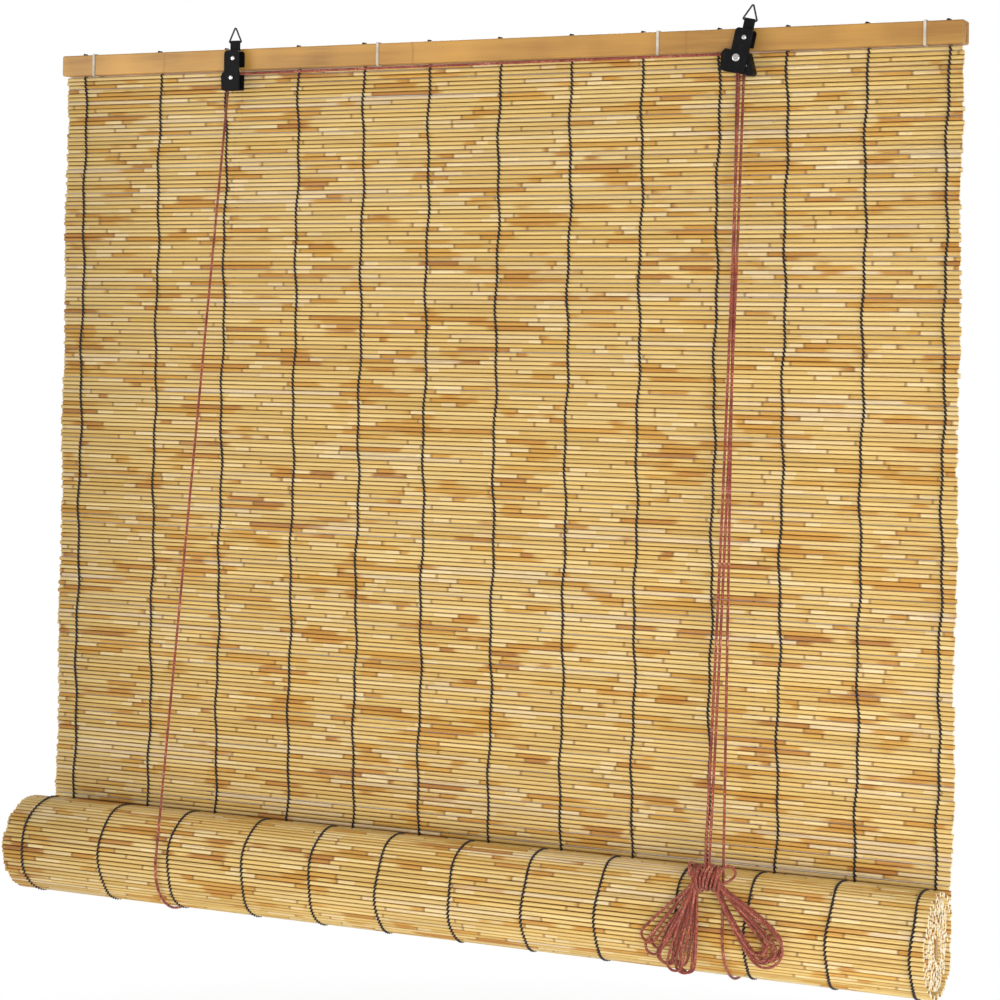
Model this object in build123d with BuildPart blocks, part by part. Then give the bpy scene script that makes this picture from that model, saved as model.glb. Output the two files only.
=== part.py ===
"""Reed roll up blind: a reed mat hung from a bamboo rail and rolled up from below by two cords.

The origin is on the hanging line, at mid-length of the rail, level with the inner tops of the
two hanging rings. X runs along the rail, -Y faces the room and +Z is up. Lengths are in mm.
"""
import os
from math import acos, atan, atan2, cos, degrees, hypot, pi, radians, sin

from build123d import *

# ---- mat of reeds
mat_length = 1004.0          # along the rail
reed_diameter = 4.2
reed_pitch = 4.42
mat_y = 15.6                 # middle plane of the hanging mat
drop_to_roll = 858.6         # rail's top edge down to the height of the roll's middle
thread_width = 1.0
thread_thickness = 0.6
thread_clearance = 0.05
thread_end_above_roll = 12.0 # front threads stop here, where the roll comes up to the mat
left_thread_x = -478.0
thread_gaps = [96, 84, 88, 78, 76, 80, 79, 77, 80, 70, 79, 79]

# ---- rail: two slats with the top of the mat between them
rail_length = 1009.0
rail_height = 22.5
rail_top = -20.4
front_slat_thickness = 7.0
back_slat_thickness = 6.0
slat_to_reed = 0.8           # leaves room for the threads
slat_corner = 2.0
slat_edge = 1.6
rail_reeds = 5
tie_x = [-463.0, -113.0, 198.0, 467.0]
tie_width = 2.6
tie_thickness = 0.8
tie_clearance = 0.2

# ---- roll
first_turn_radius = 48.8     # to the reeds' middles, where the mat starts to wrap
turn_pitch = 4.4             # the spiral closes in by this much in one turn
core_clearance = 0.35
core_length = 1002.0
end_ring_width = 0.7
end_ring_depth = 1.5
end_rings = 7
batten_height = 22.0
batten_thickness = 7.0
batten_clearance = 0.4

# ---- cords
cord_diameter = 2.6
cord_over_reed = 1.0         # a reed's crest to a cord that passes over the threads
cord_break = 0.2             # gap where one stretch of a cord meets the next
cord_exit_z = -66.0
left_exit_x = -287.5
right_exit_x = 282.5
lift_x_at_roll = 310.0       # both lift cords, either side of the middle
lift_x_at_rail = 285.5
knot_radius = 2.6
knot_clearance = 0.3         # knot to slat
knot_z = -29.0
staple_z = -35.5
staple_wire = 1.2
staple_depth = 4.0
pull_exit_x = [286.0, 289.4]
pull_middle = [(291.0, -48.0), (295.2, -46.4)]
pull_middle_z = -440.0
pull_end_x = [287.4, 293.4]
hank_z = -812.4              # top of the knot that gathers the pull cords
hank_y = -91.2
hank_thickness = 8.0
hank_knot_width = 30.0
hank_knot_height = 31.0
hank_knot_thickness = 12.0
hank_knot_x = 290.5

# ---- hangers: a strap over a pulley housing, hung from a wire ring
left_x = -281.2              # the pulley's axle
left_axle_drop = 32.0        # below the rail's top
lock_x = 284.0
lock_axle_drop = 30.0
lock_lean = 12.0             # degrees, its top leans to the right
plate = 1.2
strap_width = 18.2
strap_front_y = -7.0
strap_depth = 12.4           # front face to rear face
strap_top = 29.3             # above the axle
strap_corner = 4.0
strap_rear_end = 12.0        # the rear leg stops here, above the axle
strap_foot = -12.5
neck_width = 10.4
neck_thickness = 3.4
neck_top = 40.0
eye_height = 38.2
eye_clearance = 0.3
ring_wire = 1.8
ring_half_width = 7.6
ring_corner = 1.0
rivet_radius = 1.8
rivet_height = 20.6
rivet_head = 2.5
rivet_tail = 3.2
pin_clearance = 0.1

# ---- pulleys
axle_radius = 1.5
left_axle_head = 2.5
lock_axle_head = 4.0
head_height = 1.6
spacer_radius = 3.0
wheel_radius = 6.2
wheel_side_gap = 0.4
wheel_bore_clearance = 0.15
groove_cord_radius = 4.3     # axle to the middle of the cord
groove_floor = 2.6
groove_floor_half = 1.5
groove_mouth_half = 1.7
front_groove_y = -2.1
rear_groove_y = 1.7
single_wheel_width = 4.2

# ---- housings, drawn about the axle: outline, and what is open inside it
left_housing_outline = [(-13.3, 2), (-10.8, 6.5), (9.1, 6.5), (9.1, -13), (-12.3, -13)]
left_housing_inside = [(-11, 8), (11, 8), (11, -15), (-11, -15)]
lock_housing_outline = [(-16.5, 2), (-13.5, 7), (11, 7), (20.5, -11.5), (18, -14.5), (-14, -14.5)]
lock_housing_inside = [(-18, 9), (8.6, 9), (18.7, -10.8), (17, -16), (-18, -16)]

# ---- lock cam, drawn about the axle
cam_at = (11.4, -6.0)
cam_radius = 2.5
cam_offset = 0.5
cam_pin_radius = 0.9
cam_bore_clearance = 0.15

# ---- worked out from the sizes above
reed_radius = reed_diameter / 2
cord_radius = cord_diameter / 2
thread_reach = reed_radius + thread_clearance + thread_thickness
roll_z = rail_top - drop_to_roll
rail_bottom = rail_top - rail_height
front_slat_back = mat_y - reed_radius - slat_to_reed
front_slat_face = front_slat_back - front_slat_thickness
back_slat_face = mat_y + reed_radius + slat_to_reed
back_slat_back = back_slat_face + back_slat_thickness
left_axle_z = rail_top - left_axle_drop
lock_axle_z = rail_top - lock_axle_drop
thread_x = [left_thread_x + sum(thread_gaps[:i]) for i in range(len(thread_gaps) + 1)]
first_reed_z = rail_bottom - tie_thickness - 2 * tie_clearance - reed_radius
hanging_reeds = int((first_reed_z - roll_z) / reed_pitch) + 1
last_reed_z = first_reed_z - (hanging_reeds - 1) * reed_pitch
strap_rear_y = strap_front_y + strap_depth
housing_front_y = strap_front_y + plate
wheel_front_y = housing_front_y + plate + wheel_side_gap
wheel_back_y = strap_rear_y - plate - wheel_side_gap
rivet_hole = rivet_radius + pin_clearance
axle_hole = axle_radius + pin_clearance
wheel_bore = axle_radius + wheel_bore_clearance

# the outer turn: four quarter arcs (centre y, centre z, radius), each tighter than the last
step = turn_pitch / 4
turn_y = mat_y - first_turn_radius
turn_arcs = [
    (turn_y, roll_z, first_turn_radius),
    (turn_y, roll_z - step, first_turn_radius - step),
    (turn_y - step, roll_z - step, first_turn_radius - 2 * step),
    (turn_y - step, roll_z, first_turn_radius - 3 * step),
]
core_front = turn_y - (first_turn_radius - step) + reed_radius
core_back = mat_y - turn_pitch - reed_radius
core_radius = (core_back - core_front) / 2 - core_clearance
core_y = (core_back + core_front) / 2
core_z = roll_z - 1.5 * step
lift_radius_extra = reed_radius + cord_over_reed + cord_radius

os.makedirs("parts", exist_ok=True)


def save(part, label):
    part.label = label
    export_step(part, f"parts/{label}.step")


def facing(x, y, z, lean=0.0):
    """A plane that faces the room, its upward direction leaning to the right by lean degrees."""
    angle = radians(lean)
    return Plane(origin=(x, y, z), x_dir=(cos(angle), 0, -sin(angle)), z_dir=(0, -1, 0))


def across(x):
    """The plane square to the rail at x, drawn in (Y, Z)."""
    return Plane(origin=(x, 0, 0), x_dir=(0, 1, 0), z_dir=(1, 0, 0))


def lathe(x, z):
    """A plane through a pulley's axle, drawn in (radius, Y)."""
    return Plane(origin=(x, 0, z), x_dir=(1, 0, 0), z_dir=(0, 0, 1))


def axle_line(x, z):
    return Axis((x, 0, z), (0, 1, 0))


def tangent_angle(point, centre, radius, side):
    """The angle, in degrees, where a line from the point touches the circle."""
    across_x = point[0] - centre[0]
    across_y = point[1] - centre[1]
    turn = acos(radius / hypot(across_x, across_y))
    return degrees(atan2(across_y, across_x) + side * turn)


def on_circle(centre, radius, angle):
    return (centre[0] + radius * cos(radians(angle)), centre[1] + radius * sin(radians(angle)))


# ================================================================ hangers' places
# name: axle x, axle z, lean, middle of strap, middle of neck, rivet (all three beside the axle)
hangers = {
    "left": (left_x, left_axle_z, 0.0, 0.2, 0.6, 2.0),
    "lock": (lock_x, lock_axle_z, lock_lean, 2.4, 3.4, 3.8),
}


# sections of the two rivet holes, to be cut through the rail
rivet_sections = []
for x, z, lean, strap_u, neck_u, rivet_u in hangers.values():
    with BuildSketch(facing(x, back_slat_back + rivet_tail, z, lean)) as section:
        with Locations((rivet_u, rivet_height)):
            Circle(rivet_hole)
    rivet_sections.append(section.sketch)
rivet_cut = rail_height + strap_depth


# ================================================================ rail
rail_middle_z = (rail_top + rail_bottom) / 2
with BuildPart() as head_rail:
    with BuildSketch(facing(0, front_slat_back, rail_middle_z)) as slat_face:
        Rectangle(rail_length, rail_height)
        fillet(slat_face.vertices(), slat_corner)
    extrude(amount=front_slat_thickness)
    fillet(head_rail.faces().sort_by(Axis.Y)[0].edges(), slat_edge)
    for section in rivet_sections:
        extrude(section, amount=rivet_cut, mode=Mode.SUBTRACT)
save(head_rail.part, "head_rail")

staple_half = cord_radius + pin_clearance + staple_wire / 2
with BuildPart() as rail_back_slat:
    with BuildSketch(facing(0, back_slat_back, rail_middle_z)) as slat_face:
        Rectangle(rail_length, rail_height)
        fillet(slat_face.vertices(), slat_corner)
    extrude(amount=back_slat_thickness)
    for section in rivet_sections:
        extrude(section, amount=rivet_cut, mode=Mode.SUBTRACT)
    with BuildSketch(facing(0, back_slat_back, staple_z)):
        for side in (-1, 1):
            with Locations((side * lift_x_at_rail - staple_half, 0), (side * lift_x_at_rail + staple_half, 0)):
                Circle(staple_wire / 2 + pin_clearance)
    extrude(amount=staple_depth + pin_clearance, mode=Mode.SUBTRACT)
save(rail_back_slat.part, "rail_back_slat")

with BuildPart() as rail_top_reeds:
    with BuildSketch(across(-mat_length / 2)):
        for i in range(rail_reeds):
            with Locations((mat_y, rail_top - reed_radius - 0.1 - i * reed_pitch)):
                Circle(reed_radius)
    extrude(amount=mat_length)
    for section in rivet_sections:
        extrude(section, amount=rivet_cut, mode=Mode.SUBTRACT)
save(rail_top_reeds.part, "rail_top_reeds")

# each column of thread starts as a loop over the topmost reed, between the slats
with BuildPart() as rail_threads:
    with BuildSketch(*[across(x - thread_width / 2) for x in thread_x]):
        loop_height = rail_height + thread_clearance
        with Locations((mat_y, rail_top - loop_height / 2 + thread_clearance)):
            Rectangle(2 * thread_reach, loop_height + 2 * thread_thickness)
            Rectangle(2 * (reed_radius + thread_clearance), loop_height, mode=Mode.SUBTRACT)
        with Locations((mat_y, rail_bottom)):
            Rectangle(4 * thread_reach, 2 * thread_thickness + 0.2, mode=Mode.SUBTRACT)
    extrude(amount=thread_width)
save(rail_threads.part, "rail_threads")

# four white ties bind the slats and the mat together
for number, x in enumerate(tie_x, start=1):
    with BuildPart() as tie:
        with BuildSketch(across(x - tie_width / 2)) as loop:
            with Locations(((front_slat_face + back_slat_back) / 2, rail_middle_z)):
                inner_depth = back_slat_back - front_slat_face + 2 * tie_clearance
                inner_height = rail_height + 2 * tie_clearance
                Rectangle(inner_depth + 2 * tie_thickness, inner_height + 2 * tie_thickness)
                fillet(loop.vertices(), tie_thickness)
                Rectangle(inner_depth, inner_height, mode=Mode.SUBTRACT)
        extrude(amount=tie_width)
    save(tie.part, f"rail_tie_{number}")

# ================================================================ hanging mat
with BuildPart() as reed_sheet:
    with BuildSketch(across(-mat_length / 2)):
        for i in range(hanging_reeds):
            with Locations((mat_y, first_reed_z - i * reed_pitch)):
                Circle(reed_radius)
    extrude(amount=mat_length)
save(reed_sheet.part, "reed_sheet")

thread_top = first_reed_z + reed_radius
for number, x in enumerate(thread_x, start=1):
    with BuildPart() as thread:
        for side, foot in ((-1, roll_z + thread_end_above_roll), (1, roll_z + cord_break)):
            middle_y = mat_y + side * (thread_reach - thread_thickness / 2)
            with BuildSketch(Plane.XY.offset(foot)):
                with Locations((x, middle_y)):
                    Rectangle(thread_width, thread_thickness)
            extrude(amount=thread_top - foot)
    save(thread.part, f"binding_thread_{number:02d}")

# ================================================================ roll
with BuildPart() as roll_outer_turn:
    with BuildSketch(across(-mat_length / 2)):
        along = reed_pitch - (last_reed_z - roll_z)
        for quarter, (centre_y, centre_z, radius) in enumerate(turn_arcs):
            quarter_length = radius * radians(90)
            while along < quarter_length:
                angle = -90 * quarter - degrees(along / radius)
                with Locations(on_circle((centre_y, centre_z), radius, angle)):
                    Circle(reed_radius)
                along += reed_pitch
            along -= quarter_length
    extrude(amount=mat_length)
save(roll_outer_turn.part, "roll_outer_turn")

with BuildPart() as roll_threads:
    with BuildSketch(*[across(x - thread_width / 2) for x in thread_x]):
        with BuildLine():
            ends = []
            for reach in (thread_reach, thread_reach - thread_thickness):
                for quarter, (centre_y, centre_z, radius) in enumerate(turn_arcs):
                    sweep_angle = -90 if quarter < 3 else -55
                    arc = CenterArc((centre_y, centre_z), radius + reach, -90 * quarter, sweep_angle)
                    if quarter == 0:
                        ends.append(arc @ 0)
                ends.append(arc @ 1)
            Line(ends[0], ends[2])
            Line(ends[1], ends[3])
        make_face()
    extrude(amount=thread_width)
save(roll_threads.part, "roll_threads")

# the turns inside the outer one, as a solid body of rolled reeds round the bottom batten
with BuildPart() as roll_inner_turns:
    with BuildSketch(across(-core_length / 2)):
        with Locations((core_y, core_z)):
            Circle(core_radius)
            Rectangle(batten_thickness + 2 * batten_clearance, batten_height + 2 * batten_clearance,
                      mode=Mode.SUBTRACT)
    extrude(amount=core_length)
    for end in (-core_length / 2, core_length / 2 - end_ring_depth):
        with BuildSketch(across(end)):
            with Locations((core_y, core_z)):
                for turn in range(1, end_rings + 1):
                    ring_radius = core_radius - turn * turn_pitch
                    Circle(ring_radius)
                    Circle(ring_radius - end_ring_width, mode=Mode.SUBTRACT)
        extrude(amount=end_ring_depth, mode=Mode.SUBTRACT)
save(roll_inner_turns.part, "roll_inner_turns")

with BuildPart() as bottom_batten:
    with BuildSketch(across(-core_length / 2)):
        with Locations((core_y, core_z)):
            Rectangle(batten_thickness, batten_height)
    extrude(amount=core_length)
save(bottom_batten.part, "bottom_batten")

# ================================================================ hangers
for name, (x, z, lean, strap_u, neck_u, rivet_u) in hangers.items():
    is_lock = name == "lock"
    strap_middle = (strap_top + strap_foot) / 2
    strap_length = strap_top - strap_foot

    with BuildPart() as strap:
        with BuildSketch(facing(x, strap_rear_y, z, lean)) as outline:
            with Locations((strap_u, strap_middle)):
                Rectangle(strap_width, strap_length)
            fillet(outline.vertices().group_by(Axis.Y)[-1], strap_corner)
        extrude(amount=strap_depth)
        with BuildSketch(facing(x, strap_rear_y - plate, z, lean)):
            with Locations((strap_u, strap_middle - plate)):
                Rectangle(strap_width + 2, strap_length)
        extrude(amount=strap_depth - 2 * plate, mode=Mode.SUBTRACT)
        with BuildSketch(facing(x, strap_rear_y, z, lean)):
            with Locations((strap_u, strap_rear_end - strap_length / 2)):
                Rectangle(strap_width + 2, strap_length)
        extrude(amount=plate, mode=Mode.SUBTRACT)
        with BuildSketch(facing(x, neck_thickness / 2, z, lean)):
            neck_foot = strap_top - plate
            with Locations((neck_u, (neck_top + neck_foot) / 2)):
                Rectangle(neck_width, neck_top - neck_foot)
        extrude(amount=neck_thickness)
        with BuildSketch(facing(x, strap_rear_y, z, lean)):
            with Locations((rivet_u, rivet_height)):
                Circle(rivet_hole)
            Circle(axle_hole)
        extrude(amount=strap_depth, mode=Mode.SUBTRACT)
        eye = facing(x, 0, z, lean)
        eye_at = eye.from_local_coords((neck_u - neck_width, eye_height, 0))
        with BuildSketch(Plane(origin=eye_at, z_dir=eye.x_dir)):
            Circle(ring_wire / 2 + eye_clearance)
        extrude(amount=2 * neck_width, mode=Mode.SUBTRACT)
    save(strap.part, f"{name}_strap")

    # the ring's inner top stands at the height of the hanging line
    ring_plane = facing(x, 0, z, lean)
    lean_angle = radians(lean)
    wire_top = (ring_wire / 2 - z + neck_u * sin(lean_angle)) / cos(lean_angle)
    half_angle = atan(ring_half_width / (wire_top - eye_height + ring_corner))
    ring_apex = wire_top + ring_corner * (1 / sin(half_angle) - 1)
    with BuildPart() as ring:
        with BuildLine(ring_plane) as wire:
            FilletPolyline(
                (neck_u - ring_half_width, eye_height),
                (neck_u + ring_half_width, eye_height),
                (neck_u, ring_apex),
                radius=ring_corner,
                close=True,
            )
        with BuildSketch(Plane(origin=wire.line @ 0, z_dir=wire.line % 0)):
            Circle(ring_wire / 2)
        sweep()
    save(ring.part, f"{name}_ring")

    # rivet through the strap, both slats and the mat, with a domed head and a flared tail
    with BuildPart() as rivet:
        with BuildSketch(facing(x, back_slat_back, z, lean)):
            with Locations((rivet_u, rivet_height)):
                Circle(rivet_radius)
        extrude(amount=back_slat_back - strap_front_y)
        with BuildSketch(facing(x, strap_front_y, z, lean)):
            with Locations((rivet_u, rivet_height)):
                Circle(rivet_head)
        extrude(amount=head_height)
        fillet(rivet.faces().sort_by(Axis.Y)[0].edges(), 0.8 * head_height)
        with BuildSketch(facing(x, back_slat_back, z, lean)):
            with Locations((rivet_u, rivet_height)):
                Circle(rivet_tail)
        extrude(amount=-plate)
    save(rivet.part, f"{name}_rivet")

    # pulley housing: front and rear walls, one side wall, open below for the cords
    with BuildPart() as housing:
        with BuildSketch(facing(x, strap_rear_y, z, lean)):
            with BuildLine():
                Polyline(lock_housing_outline if is_lock else left_housing_outline, close=True)
            make_face()
        extrude(amount=strap_depth - plate)
        with BuildSketch(facing(x, strap_rear_y - plate, z, lean)):
            with BuildLine():
                Polyline(lock_housing_inside if is_lock else left_housing_inside, close=True)
            make_face()
        extrude(amount=strap_depth - 3 * plate, mode=Mode.SUBTRACT)
        with BuildSketch(facing(x, strap_rear_y, z, lean)):
            Circle(axle_hole)
            if is_lock:
                with Locations(cam_at):
                    Circle(cam_pin_radius + pin_clearance)
        extrude(amount=strap_depth, mode=Mode.SUBTRACT)
    save(housing.part, f"{name}_housing")

    # axle: a rivet with a domed head; the single wheel has a spacer behind it
    with BuildPart() as axle:
        with BuildSketch(facing(x, strap_rear_y, z)):
            Circle(axle_radius)
        extrude(amount=strap_depth)
        with BuildSketch(facing(x, strap_front_y, z)):
            Circle(lock_axle_head if is_lock else left_axle_head)
        extrude(amount=head_height)
        fillet(axle.faces().sort_by(Axis.Y)[0].edges(), 0.8 * head_height)
        if not is_lock:
            spacer_front = wheel_front_y + single_wheel_width + wheel_side_gap
            with BuildSketch(facing(x, strap_rear_y - plate, z)):
                Circle(spacer_radius)
            extrude(amount=strap_rear_y - plate - spacer_front)
    save(axle.part, f"{name}_axle")

    # wheel: one groove for the left cord, two in the lock
    wheel_end_y = wheel_back_y if is_lock else wheel_front_y + single_wheel_width
    grooves = [front_groove_y, rear_groove_y] if is_lock else [front_groove_y]
    with BuildPart() as wheel:
        with BuildSketch(lathe(x, z)):
            with BuildLine():
                rim = [(wheel_bore, wheel_front_y), (wheel_radius, wheel_front_y)]
                for groove_y in grooves:
                    rim.append((wheel_radius, groove_y - groove_mouth_half))
                    rim.append((groove_floor, groove_y - groove_floor_half))
                    rim.append((groove_floor, groove_y + groove_floor_half))
                    rim.append((wheel_radius, groove_y + groove_mouth_half))
                rim += [(wheel_radius, wheel_end_y), (wheel_bore, wheel_end_y)]
                Polyline(rim, close=True)
            make_face()
        revolve(axis=axle_line(x, z))
    save(wheel.part, f"{name}_wheel")

# an off-centre cam beside the cords grips them when they are drawn aside
lock_plane = facing(lock_x, 0, lock_axle_z, lock_lean)
cam_height = wheel_back_y - wheel_front_y
with BuildPart() as lock_cam:
    with BuildSketch(facing(lock_x, wheel_back_y, lock_axle_z, lock_lean)):
        with Locations((cam_at[0] + cam_offset, cam_at[1])):
            Circle(cam_radius)
        with Locations(cam_at):
            Circle(cam_pin_radius + cam_bore_clearance, mode=Mode.SUBTRACT)
    extrude(amount=cam_height)
save(lock_cam.part, "lock_cam")

with BuildPart() as lock_cam_pin:
    with BuildSketch(facing(lock_x, strap_rear_y, lock_axle_z, lock_lean)):
        with Locations(cam_at):
            Circle(cam_pin_radius)
    extrude(amount=strap_depth - plate)
save(lock_cam_pin.part, "lock_cam_pin")


# ================================================================ cords
def report_tube(part, line, label):
    section = pi * cord_radius ** 2
    print(f"{label}: volume over section times length {part.volume / (section * line.length):.4f}")


def over_wheels(label, groove_y, start, start_wheel, end_wheel, end):
    """A cord up from start, over one wheel or two, and down to end, all at one groove's depth."""
    start_angle = tangent_angle(start, start_wheel, groove_cord_radius, -1) % 360
    end_angle = tangent_angle(end, end_wheel, groove_cord_radius, 1)
    rise = degrees(atan2(end_wheel[1] - start_wheel[1], end_wheel[0] - start_wheel[0]))
    top_angle = 90 + (rise if start_wheel != end_wheel else 0)
    with BuildPart() as cord:
        with BuildLine(facing(0, groove_y, 0)) as route:
            Line(start, on_circle(start_wheel, groove_cord_radius, start_angle))
            CenterArc(start_wheel, groove_cord_radius, start_angle, top_angle - start_angle)
            if start_wheel != end_wheel:
                Line(on_circle(start_wheel, groove_cord_radius, top_angle),
                     on_circle(end_wheel, groove_cord_radius, top_angle))
            CenterArc(end_wheel, groove_cord_radius, top_angle, end_angle - top_angle)
            Line(on_circle(end_wheel, groove_cord_radius, end_angle), end)
        line = route.wires()[0]
        with BuildSketch(Plane(origin=line @ 0, z_dir=line % 0)):
            Circle(cord_radius)
        sweep(path=line)
    report_tube(cord.part, line, label)
    save(cord.part, label)


left_wheel_at = (left_x, left_axle_z)
lock_wheel_at = (lock_x, lock_axle_z)
over_wheels("left_cord_over_wheels", front_groove_y, (left_exit_x, cord_exit_z), left_wheel_at,
            lock_wheel_at, (pull_exit_x[0], cord_exit_z))
over_wheels("right_cord_over_wheel", rear_groove_y, (right_exit_x, cord_exit_z), lock_wheel_at,
            lock_wheel_at, (pull_exit_x[1], cord_exit_z))


def straight_cord(label, start, end):
    """A stretch pulled tight between two points, set back a little from both."""
    start = Vector(*start)
    end = Vector(*end)
    along = (end - start).normalized()
    with BuildPart() as cord:
        with BuildSketch(Plane(origin=start + along * cord_break, z_dir=along)):
            Circle(cord_radius)
        extrude(amount=(end - start).length - 2 * cord_break)
    save(cord.part, label)


for side, name, exit_x, groove_y in ((-1, "left", left_exit_x, front_groove_y),
                                     (1, "right", right_exit_x, rear_groove_y)):
    x_at_roll = side * lift_x_at_roll
    third_y, third_z, third_radius = turn_arcs[2]
    leave_radius = third_radius + lift_radius_extra
    leave_angle = tangent_angle((groove_y, cord_exit_z), (third_y, third_z), leave_radius, 1)
    leave_y, leave_z = on_circle((third_y, third_z), leave_radius, leave_angle)

    straight_cord(f"{name}_front_cord", (exit_x, groove_y, cord_exit_z), (x_at_roll, leave_y, leave_z))

    with BuildPart() as under_roll:
        with BuildLine(across(x_at_roll)) as route:
            for quarter, (centre_y, centre_z, radius) in enumerate(turn_arcs[:2]):
                CenterArc((centre_y, centre_z), radius + lift_radius_extra, -90 * quarter, -90)
            CenterArc((third_y, third_z), leave_radius, 180, leave_angle - 180)
        line = route.wires()[0]
        with BuildSketch(Plane(origin=line @ 0, z_dir=line % 0)):
            Circle(cord_radius)
        sweep(path=line)
    report_tube(under_roll.part, line, f"{name}_cord_under_roll")
    save(under_roll.part, f"{name}_cord_under_roll")

    # up the back of the mat to a staple and a knot on the back slat
    tie_off = Vector(side * lift_x_at_rail, back_slat_back + pin_clearance + cord_radius, rail_bottom)
    roll_back = Vector(x_at_roll, mat_y + lift_radius_extra, roll_z)
    straight_cord(f"{name}_back_cord", tuple(tie_off), tuple(roll_back))
    with BuildPart() as cord_end:
        with BuildSketch(Plane(origin=tie_off, z_dir=(0, 0, 1))):
            Circle(cord_radius)
        extrude(amount=knot_z - rail_bottom)
        with Locations((tie_off.X, back_slat_back + knot_clearance + knot_radius, knot_z)):
            Sphere(knot_radius)
    save(cord_end.part, f"{name}_cord_knot")

    crown_y = tie_off.Y + cord_radius + pin_clearance + staple_wire / 2
    with BuildPart() as staple:
        with BuildSketch(facing(tie_off.X, crown_y, staple_z)):
            with Locations((-staple_half, 0), (staple_half, 0)):
                Circle(staple_wire / 2)
        extrude(amount=crown_y - back_slat_back + staple_depth)
        with BuildSketch(Plane(origin=(tie_off.X - staple_half, crown_y, staple_z), z_dir=(1, 0, 0))):
            Circle(staple_wire / 2)
        extrude(amount=2 * staple_half)
    save(staple.part, f"{name}_cord_staple")

# ---- the two pull cords, drawn almost straight by the weight of the hank
for name, exit_x, groove_y, middle, end_x in zip("ab", pull_exit_x, (front_groove_y, rear_groove_y),
                                                 pull_middle, pull_end_x):
    points = [
        Vector(exit_x, groove_y, cord_exit_z - cord_break),
        Vector(middle[0], middle[1], pull_middle_z),
        Vector(end_x, hank_y, hank_z + cord_break),
    ]
    runs = [(points[1] - points[0]), (points[2] - points[1])]
    turn = runs[0].get_angle(runs[1])
    bend = 0.45 * min(run.length for run in runs) / sin(radians(turn / 2)) * cos(radians(turn / 2))
    print(f"pull cord {name}: turn {turn:.2f} degrees, radius {bend:.0f}")
    with BuildPart() as pull:
        with BuildLine() as route:
            FilletPolyline(*points, radius=bend)
        line = route.wires()[0]
        with BuildSketch(Plane(origin=line @ 0, z_dir=line % 0)):
            Circle(cord_radius)
        sweep(path=line)
    report_tube(pull.part, line, f"pull_cord_{name}")
    save(pull.part, f"pull_cord_{name}")

# ---- the hank: a bow of both pull cords, one knot with loops to each side
left_loops = [
    (277, -842), (289, -842), (289, -908), (282, -916), (272, -915), (258, -910), (243, -907),
    (235, -896), (229, -888),
]
right_loops = [
    (300, -839), (316, -834), (338, -843), (355, -858), (366, -879), (365, -890), (355, -900),
    (344, -904), (334, -902), (328, -893), (322, -876), (312, -858),
]
with BuildPart() as cord_hank:
    for loops in (left_loops, right_loops):
        with BuildSketch(facing(0, hank_y + hank_thickness / 2, 0)) as lobe:
            with BuildLine():
                Polyline(loops, close=True)
            make_face()
            fillet(lobe.vertices(), cord_radius)
        extrude(amount=hank_thickness)
    with BuildSketch(Plane.XY.offset(hank_z)):
        with Locations((hank_knot_x, hank_y)):
            RectangleRounded(hank_knot_width, hank_knot_thickness, 3 * cord_radius)
    extrude(amount=-hank_knot_height)
save(cord_hank.part, "cord_hank")
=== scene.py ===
"""Reed roll up blind: the finish of every surface, the cords, the mat and its threads.

All lengths are in metres, in the frame of the model. The origin is on the hanging line, X runs
along the rail, -Y faces the room and +Z is up.
"""
import random
from math import atan2, cos, pi, radians, sin

import bpy
import numpy as np
from mathutils import Matrix, Vector


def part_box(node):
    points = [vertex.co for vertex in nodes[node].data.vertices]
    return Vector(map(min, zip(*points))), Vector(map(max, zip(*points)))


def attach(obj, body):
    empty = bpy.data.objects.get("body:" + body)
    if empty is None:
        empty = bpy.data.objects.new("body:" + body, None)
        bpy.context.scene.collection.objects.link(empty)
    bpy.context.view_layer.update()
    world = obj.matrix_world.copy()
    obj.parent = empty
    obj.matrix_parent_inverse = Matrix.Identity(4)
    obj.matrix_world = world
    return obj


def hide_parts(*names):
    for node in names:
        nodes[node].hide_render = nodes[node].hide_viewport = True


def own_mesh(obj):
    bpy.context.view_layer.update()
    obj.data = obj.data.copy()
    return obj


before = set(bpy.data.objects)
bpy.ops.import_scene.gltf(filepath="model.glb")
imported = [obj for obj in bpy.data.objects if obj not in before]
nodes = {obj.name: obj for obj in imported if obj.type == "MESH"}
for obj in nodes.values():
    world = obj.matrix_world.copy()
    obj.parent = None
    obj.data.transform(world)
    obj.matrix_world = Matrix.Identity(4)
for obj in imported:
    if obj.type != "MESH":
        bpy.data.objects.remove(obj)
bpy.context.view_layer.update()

random.seed(7)

# ================================================================ camera
# Stands 2.3 m in front of the blind and a metre to the right of its middle, level with the upper
# half of the mat and almost level with the horizon, on a fairly long lens.
camera_place = (1.0475, -2.2568, -0.3359)
camera_turn = radians(24.175)     # to the left of straight ahead
camera_tilt = radians(0.421)      # upwards
camera_roll = radians(0.905)

camera_data = bpy.data.cameras.new("camera")
camera_data.sensor_width = 36
camera_data.lens = 87.81
camera_data.shift_y = -0.17
camera = bpy.data.objects.new("camera", camera_data)
camera.matrix_world = (
    Matrix.Translation(camera_place)
    @ Matrix.Rotation(camera_turn, 4, "Z")
    @ Matrix.Rotation(pi / 2 + camera_tilt, 4, "X")
    @ Matrix.Rotation(camera_roll, 4, "Z")
)
bpy.context.scene.collection.objects.link(camera)
bpy.context.scene.camera = camera

# ================================================================ braided cord
# All the cords are one thin round braid of terracotta polyester, with painted shade in its grooves
# and painted highlights on a few of its cells. The braid is drawn on each cord's own map: once round it,
# and metres along it.
cord_diameter = 0.0026
braid_strands = 6
line_steps = 10      # how finely a route's spline is read, for each of its points


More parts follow.
